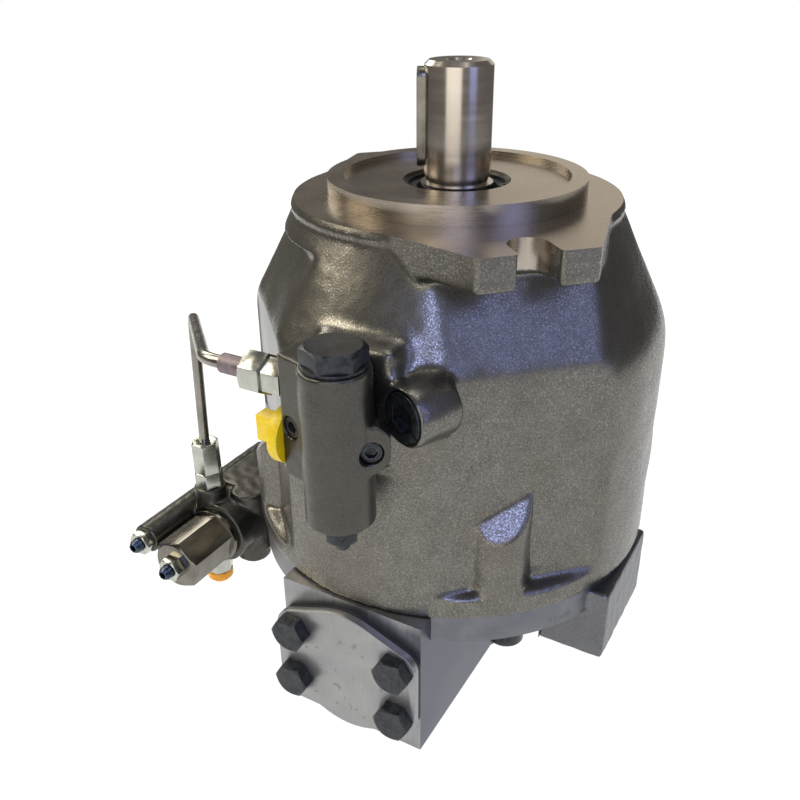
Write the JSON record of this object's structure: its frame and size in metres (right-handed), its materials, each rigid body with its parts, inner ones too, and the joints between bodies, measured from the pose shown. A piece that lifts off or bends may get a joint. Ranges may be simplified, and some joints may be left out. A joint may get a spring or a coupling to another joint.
{
  "type": "axial piston pump",
  "caption": "Variable axial piston pump with a piloted two-bolt flange, keyed shaft, ported base, power valve, control valve and pilot tube",
  "frame": {"origin": "centre of the mounting face, on the shaft axis", "axes": "+Z out along the shaft, -Y to the pressure port, +Y to the suction port, -X to the control valve"},
  "size_m": [0.2715, 0.2497, 0.314],
  "materials": {
    "cast_iron_housing": "semi-gloss as-cast iron with machined faces",
    "machined_iron": "machined port plate iron",
    "black_steel": "black oxide steel",
    "bearing_steel": "ground bearing steel",
    "bronze": "bearing bronze",
    "seal_rubber": "black nitrile rubber",
    "spring_steel": "dark spring steel",
    "cover_steel": "brushed steel plate",
    "valve_iron": "smooth grey-brown iron",
    "dark_valve_iron": "dark phosphated iron",
    "dark_steel": "dark turned steel",
    "zinc_steel": "zinc plated steel",
    "tube_steel": "drawn steel tube",
    "yellow_plastic": "yellow shipping plastic",
    "amber_plastic": "amber shipping plastic",
    "screw_steel": "blue-black screw steel",
    "ground_steel": "ground shaft steel",
    "key_steel": "bright key steel",
    "slipper_brass": "brass slippers"
  },
  "bodies": {
    "case": {"housing": "cast_iron_housing", "port_plate": "machined_iron", "port_plate_screws": "black_steel", "valve_plate": "bronze", "front_bearing_cup": "bearing_steel", "rear_bush": "bronze", "shaft_seal": "seal_rubber", "seal_circlip": "spring_steel", "cradle_shells": "bronze", "pressure_gasket": "seal_rubber", "pressure_cover": "cover_steel", "pressure_bolts": "black_steel", "power_valve_body": "valve_iron", "power_valve_plug": "black_steel", "valve_screws": "black_steel", "lock_nuts": "zinc_steel", "drain_plug": "black_steel", "winged_plug": "yellow_plastic", "tube_couplings": "zinc_steel", "tube_nuts": "zinc_steel", "pilot_tube": "tube_steel", "control_valve_body": "dark_valve_iron", "spring_cap": "dark_steel", "pressure_spring": "spring_steel", "flow_spring": "spring_steel", "gauge_cap": "amber_plastic", "bias_spring": "spring_steel"},
    "shaft": {"drive_shaft": "ground_steel", "shaft_key": "key_steel", "cylinder_block": "ground_steel", "retaining_ball": "ground_steel", "front_bearing_cone": "bearing_steel"},
    "bearing_rollers": {"front_rollers": "bearing_steel"},
    "swash": {"swash_plate": "ground_steel"},
    "retainer": {"retaining_plate": "ground_steel"},
    "stroker": {"stroking_piston": "ground_steel"},
    "bias": {"bias_piston": "ground_steel"},
    "pressure_spool": {"pressure_spool": "ground_steel"},
    "flow_spool": {"flow_spool": "ground_steel"},
    "power_adjuster": {"power_adjuster": "screw_steel"},
    "pressure_adjuster": {"pressure_adjuster": "screw_steel"},
    "flow_adjuster": {"flow_adjuster": "screw_steel"},
    "slipper_1": {"slipper_1": "slipper_brass"},
    "piston_1": {"piston_1": "ground_steel"},
    "slipper_2": {"slipper_2": "slipper_brass"},
    "piston_2": {"piston_2": "ground_steel"},
    "slipper_3": {"slipper_3": "slipper_brass"},
    "piston_3": {"piston_3": "ground_steel"},
    "slipper_4": {"slipper_4": "slipper_brass"},
    "piston_4": {"piston_4": "ground_steel"},
    "slipper_5": {"slipper_5": "slipper_brass"},
    "piston_5": {"piston_5": "ground_steel"},
    "slipper_6": {"slipper_6": "slipper_brass"},
    "piston_6": {"piston_6": "ground_steel"},
    "slipper_7": {"slipper_7": "slipper_brass"},
    "piston_7": {"piston_7": "ground_steel"},
    "slipper_8": {"slipper_8": "slipper_brass"},
    "piston_8": {"piston_8": "ground_steel"},
    "slipper_9": {"slipper_9": "slipper_brass"},
    "piston_9": {"piston_9": "ground_steel"}
  },
  "joints": [
    {"name": "shaft_spin", "type": "hinge", "parent": "case", "child": "shaft", "pos_m": [0, 0, 0], "axis": [0, 0, 1], "continuous": true},
    {"name": "rollers_spin", "type": "hinge", "parent": "case", "child": "bearing_rollers", "pos_m": [0, 0, 0], "axis": [0, 0, 1], "continuous": true},
    {"name": "swash_tilt", "type": "hinge", "parent": "case", "child": "swash", "pos_m": [0, 0, -0.08], "axis": [0, 1, 0], "range_deg": [0, 15], "stiffness_Nm_per_rad": 60, "springref_deg": -5.73},
    {"name": "retainer_spin", "type": "hinge", "parent": "swash", "child": "retainer", "pos_m": [0, 0, -0.08], "axis": [-0.2588, 0, 0.9659], "continuous": true},
    {"name": "slipper_1_turn", "type": "hinge", "parent": "retainer", "child": "slipper_1", "pos_m": [0.03862, 0, -0.06965], "axis": [-0.2588, 0, 0.9659], "continuous": true},
    {"name": "piston_1_swing", "type": "hinge", "parent": "slipper_1", "child": "piston_1", "pos_m": [0.03862, 0, -0.06965], "axis": [0, 1, 0], "range_deg": [-15.5, 0.5]},
    {"name": "slipper_2_turn", "type": "hinge", "parent": "retainer", "child": "slipper_2", "pos_m": [0.02958, 0.0257, -0.07207], "axis": [-0.2588, 0, 0.9659], "continuous": true},
    {"name": "piston_2_swing", "type": "hinge", "parent": "slipper_2", "child": "piston_2", "pos_m": [0.02958, 0.0257, -0.07207], "axis": [0, 1, 0], "range_deg": [-15.5, 0.5]},
    {"name": "slipper_3_turn", "type": "hinge", "parent": "retainer", "child": "slipper_3", "pos_m": [0.00671, 0.03937, -0.0782], "axis": [-0.2588, 0, 0.9659], "continuous": true},
    {"name": "piston_3_swing", "type": "hinge", "parent": "slipper_3", "child": "piston_3", "pos_m": [0.00671, 0.03937, -0.0782], "axis": [0, 1, 0], "range_deg": [-15.5, 0.5]},
    {"name": "slipper_4_turn", "type": "hinge", "parent": "retainer", "child": "slipper_4", "pos_m": [-0.01931, 0.03462, -0.08517], "axis": [-0.2588, 0, 0.9659], "continuous": true},
    {"name": "piston_4_swing", "type": "hinge", "parent": "slipper_4", "child": "piston_4", "pos_m": [-0.01931, 0.03462, -0.08517], "axis": [0, 1, 0], "range_deg": [-15.5, 0.5]},
    {"name": "slipper_5_turn", "type": "hinge", "parent": "retainer", "child": "slipper_5", "pos_m": [-0.03629, 0.01367, -0.08972], "axis": [-0.2588, 0, 0.9659], "continuous": true},
    {"name": "piston_5_swing", "type": "hinge", "parent": "slipper_5", "child": "piston_5", "pos_m": [-0.03629, 0.01367, -0.08972], "axis": [0, 1, 0], "range_deg": [-15.5, 0.5]},
    {"name": "slipper_6_turn", "type": "hinge", "parent": "retainer", "child": "slipper_6", "pos_m": [-0.03629, -0.01367, -0.08972], "axis": [-0.2588, 0, 0.9659], "continuous": true},
    {"name": "piston_6_swing", "type": "hinge", "parent": "slipper_6", "child": "piston_6", "pos_m": [-0.03629, -0.01367, -0.08972], "axis": [0, 1, 0], "range_deg": [-15.5, 0.5]},
    {"name": "slipper_7_turn", "type": "hinge", "parent": "retainer", "child": "slipper_7", "pos_m": [-0.01931, -0.03462, -0.08517], "axis": [-0.2588, 0, 0.9659], "continuous": true},
    {"name": "piston_7_swing", "type": "hinge", "parent": "slipper_7", "child": "piston_7", "pos_m": [-0.01931, -0.03462, -0.08517], "axis": [0, 1, 0], "range_deg": [-15.5, 0.5]},
    {"name": "slipper_8_turn", "type": "hinge", "parent": "retainer", "child": "slipper_8", "pos_m": [0.00671, -0.03937, -0.0782], "axis": [-0.2588, 0, 0.9659], "continuous": true},
    {"name": "piston_8_swing", "type": "hinge", "parent": "slipper_8", "child": "piston_8", "pos_m": [0.00671, -0.03937, -0.0782], "axis": [0, 1, 0], "range_deg": [-15.5, 0.5]},
    {"name": "slipper_9_turn", "type": "hinge", "parent": "retainer", "child": "slipper_9", "pos_m": [0.02958, -0.0257, -0.07207], "axis": [-0.2588, 0, 0.9659], "continuous": true},
    {"name": "piston_9_swing", "type": "hinge", "parent": "slipper_9", "child": "piston_9", "pos_m": [0.02958, -0.0257, -0.07207], "axis": [0, 1, 0], "range_deg": [-15.5, 0.5]},
    {"name": "stroker_slide", "type": "slide", "parent": "case", "child": "stroker", "axis": [0, 0, 1], "range_m": [-0.0005, 0.02013]},
    {"name": "bias_slide", "type": "slide", "parent": "case", "child": "bias", "axis": [0, 0, 1], "range_m": [-0.02053, 0.0005], "deforming": ["bias_spring"]},
    {"name": "pressure_spool_slide", "type": "slide", "parent": "case", "child": "pressure_spool", "axis": [0, -1, 0], "range_m": [0, 0.0025], "stiffness_N_per_m": 8000, "springref_m": -0.002, "deforming": ["pressure_spring"]},
    {"name": "flow_spool_slide", "type": "slide", "parent": "case", "child": "flow_spool", "axis": [0, -1, 0], "range_m": [0, 0.002], "stiffness_N_per_m": 6000, "springref_m": -0.002, "deforming": ["flow_spring"]},
    {"name": "power_adjuster_turn", "type": "hinge", "parent": "case", "child": "power_adjuster", "pos_m": [0.011, -0.127, -0.115], "axis": [0, 0, -1], "range_deg": [-360, 360]},
    {"name": "pressure_adjuster_turn", "type": "hinge", "parent": "case", "child": "pressure_adjuster", "pos_m": [-0.13, -0.094, -0.212], "axis": [0, -1, 0], "range_deg": [-360, 360]},
    {"name": "flow_adjuster_turn", "type": "hinge", "parent": "case", "child": "flow_adjuster", "pos_m": [-0.1555, -0.09, -0.205], "axis": [0, -1, 0], "range_deg": [-360, 360]}
  ],
  "couplings": [
    {"joint": "rollers_spin", "follows": "shaft_spin", "ratio": 0.43},
    {"joint": "retainer_spin", "follows": "shaft_spin", "ratio": 1},
    {"joint": "slipper_1_turn", "follows": "shaft_spin", "ratio": -1},
    {"joint": "piston_1_swing", "follows": "swash_tilt", "ratio": -1},
    {"joint": "slipper_2_turn", "follows": "shaft_spin", "ratio": -1},
    {"joint": "piston_2_swing", "follows": "swash_tilt", "ratio": -1},
    {"joint": "slipper_3_turn", "follows": "shaft_spin", "ratio": -1},
    {"joint": "piston_3_swing", "follows": "swash_tilt", "ratio": -1},
    {"joint": "slipper_4_turn", "follows": "shaft_spin", "ratio": -1},
    {"joint": "piston_4_swing", "follows": "swash_tilt", "ratio": -1},
    {"joint": "slipper_5_turn", "follows": "shaft_spin", "ratio": -1},
    {"joint": "piston_5_swing", "follows": "swash_tilt", "ratio": -1},
    {"joint": "slipper_6_turn", "follows": "shaft_spin", "ratio": -1},
    {"joint": "piston_6_swing", "follows": "swash_tilt", "ratio": -1},
    {"joint": "slipper_7_turn", "follows": "shaft_spin", "ratio": -1},
    {"joint": "piston_7_swing", "follows": "swash_tilt", "ratio": -1},
    {"joint": "slipper_8_turn", "follows": "shaft_spin", "ratio": -1},
    {"joint": "piston_8_swing", "follows": "swash_tilt", "ratio": -1},
    {"joint": "slipper_9_turn", "follows": "shaft_spin", "ratio": -1},
    {"joint": "piston_9_swing", "follows": "swash_tilt", "ratio": -1},
    {"joint": "stroker_slide", "follows": "swash_tilt", "m_per_rad": 0.074977},
    {"joint": "bias_slide", "follows": "swash_tilt", "m_per_rad": -0.0765}
  ]
}
